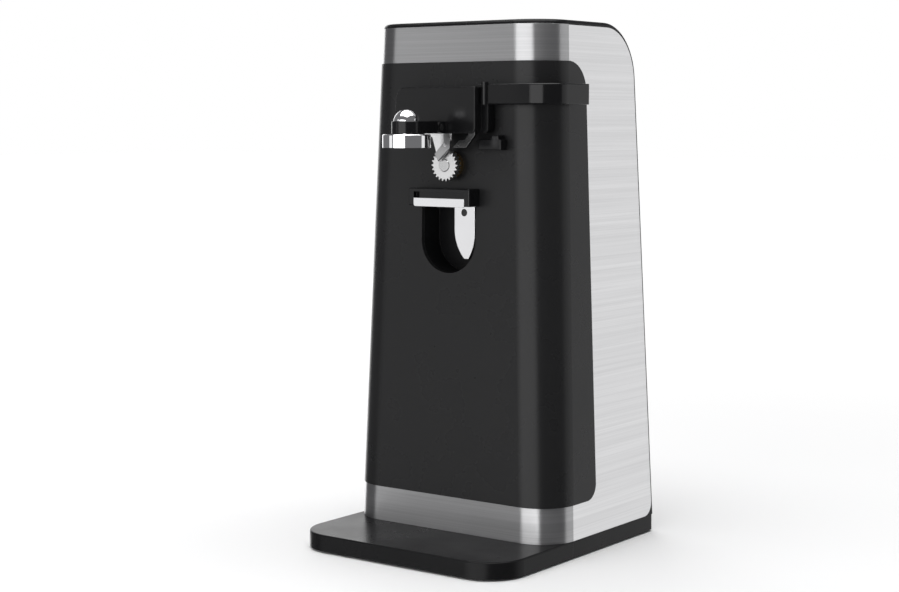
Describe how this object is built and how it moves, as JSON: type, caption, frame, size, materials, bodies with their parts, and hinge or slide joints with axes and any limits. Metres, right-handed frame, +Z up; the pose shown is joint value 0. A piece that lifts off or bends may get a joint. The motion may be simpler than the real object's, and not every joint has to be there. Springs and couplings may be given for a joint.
{
  "type": "electric can opener",
  "caption": "Upright electric can opener with a lever-mounted cutter and flip-up lid magnet, a geared drive wheel, a cap opener recess, steel side panels and a forward foot plate.",
  "frame": {"origin": "centre of the foot plate, on the plane that the rubber feet stand on", "axes": "+Z up, the front with the cutter faces -Y, +X to the right seen from the front"},
  "size_m": [0.1108, 0.1238, 0.23],
  "materials": {
    "housing_black": "satin moulded black",
    "cover_black": "matt moulded black",
    "foot_rubber": "matt",
    "screw_steel": "zinc plated",
    "fascia_black": "polished black",
    "band_steel": "fine horizontal brushing",
    "panel_steel": "fine horizontal brushing",
    "trim_black": "polished black",
    "opener_steel": "polished",
    "black_screw": "black oxide",
    "bushing_bronze": "sintered",
    "sheet_steel": "plated sheet",
    "shaft_steel": "ground",
    "gear_nylon": "natural",
    "wheel_steel": "sintered, nickel plated",
    "lever_black": "polished black",
    "crank_nylon": "natural",
    "spring_steel": "drawn wire",
    "cutter_steel": "polished plate",
    "blade_steel": "hardened and ground",
    "guide_steel": "dark plate",
    "chrome_plate": "bright chrome",
    "magnet_ferrite": "sintered ferrite",
    "switch_black": "matt",
    "switch_red": "matt",
    "lamination_steel": "stacked sheet",
    "copper": "enamelled",
    "bobbin_nylon": "natural",
    "fan_nylon": "matt",
    "gland_rubber": "matt"
  },
  "bodies": {
    "housing": {"front_housing": "housing_black", "rear_housing": "housing_black", "base_cover": "cover_black", "rubber_feet": "foot_rubber", "base_screws": "screw_steel", "housing_screws": "screw_steel", "front_fascia": "fascia_black", "lower_steel_band": "band_steel", "upper_steel_band": "band_steel", "left_side_panel": "panel_steel", "right_side_panel": "panel_steel", "can_guide": "trim_black", "bottle_opener_hood": "trim_black", "bottle_opener_plate": "opener_steel", "bottle_opener_screw": "black_screw", "drive_bushing": "bushing_bronze", "gear_plate": "sheet_steel", "gear_plate_screws": "screw_steel", "gear_1_axle": "shaft_steel", "gear_2_axle": "shaft_steel", "lever_return_spring": "spring_steel", "switch_body": "switch_black", "motor_stator": "lamination_steel", "shading_rings": "copper", "coil_bobbin": "bobbin_nylon", "coil_winding": "copper", "motor_front_bracket": "sheet_steel", "motor_rear_bracket": "sheet_steel", "motor_standoffs": "sheet_steel", "motor_screws": "screw_steel", "cord_gland": "gland_rubber"},
    "lever": {"lever_handle": "lever_black", "lever_pivot_shaft": "shaft_steel", "lever_crank": "crank_nylon", "cutter_plate": "cutter_steel", "cutter_blade": "blade_steel", "blade_rivet": "cutter_steel", "rim_guide": "guide_steel", "magnet_arm_pin": "shaft_steel"},
    "magnet_holder": {"magnet_arm": "lever_black", "magnet_cup": "chrome_plate", "magnet_disc": "magnet_ferrite", "magnet_stem": "chrome_plate"},
    "drive": {"drive_wheel": "wheel_steel", "drive_shaft": "shaft_steel", "final_gear": "gear_nylon", "wheel_washer": "sheet_steel"},
    "gear_1": {"intermediate_gear_1": "gear_nylon"},
    "gear_2": {"intermediate_gear_2": "gear_nylon"},
    "rotor": {"motor_rotor": "lamination_steel", "motor_shaft": "shaft_steel", "motor_pinion": "bushing_bronze", "cooling_fan": "fan_nylon"},
    "switch_button": {"switch_plunger": "switch_red", "plunger_spring": "spring_steel"}
  },
  "joints": [
    {"name": "lever_lift", "type": "hinge", "parent": "housing", "child": "lever", "pos_m": [-0.016, -0.02448, 0.197], "axis": [0, -1, 0], "range_deg": [-3, 15], "stiffness_Nm_per_rad": 0.35},
    {"name": "magnet_arm_flip", "type": "hinge", "parent": "lever", "child": "magnet_holder", "pos_m": [-0.0024, -0.03198, 0.1847], "axis": [-1, 0, 0], "range_deg": [0, 60]},
    {"name": "rotor_spin", "type": "hinge", "parent": "housing", "child": "rotor", "pos_m": [-0.00004, 0.02502, 0.09946], "axis": [0, -1, 0], "continuous": true},
    {"name": "gear_1_spin", "type": "hinge", "parent": "housing", "child": "gear_1", "pos_m": [0.00495, 0.01552, 0.12293], "axis": [0, -1, 0], "continuous": true},
    {"name": "gear_2_spin", "type": "hinge", "parent": "housing", "child": "gear_2", "pos_m": [0.01595, 0.01052, 0.14199], "axis": [0, -1, 0], "continuous": true},
    {"name": "drive_spin", "type": "hinge", "parent": "housing", "child": "drive", "pos_m": [0.0007, 0.00352, 0.1684], "axis": [0, -1, 0], "continuous": true},
    {"name": "switch_press", "type": "slide", "parent": "housing", "child": "switch_button", "axis": [0, 0, 1], "range_m": [-0.0008, 0.00394], "deforming": ["plunger_spring"]}
  ],
  "couplings": [
    {"joint": "gear_1_spin", "follows": "rotor_spin", "ratio": -0.2},
    {"joint": "gear_2_spin", "follows": "rotor_spin", "ratio": 0.044444},
    {"joint": "drive_spin", "follows": "rotor_spin", "ratio": -0.0097778},
    {"joint": "switch_press", "follows": "lever_lift", "m_per_rad": 0.015}
  ]
}
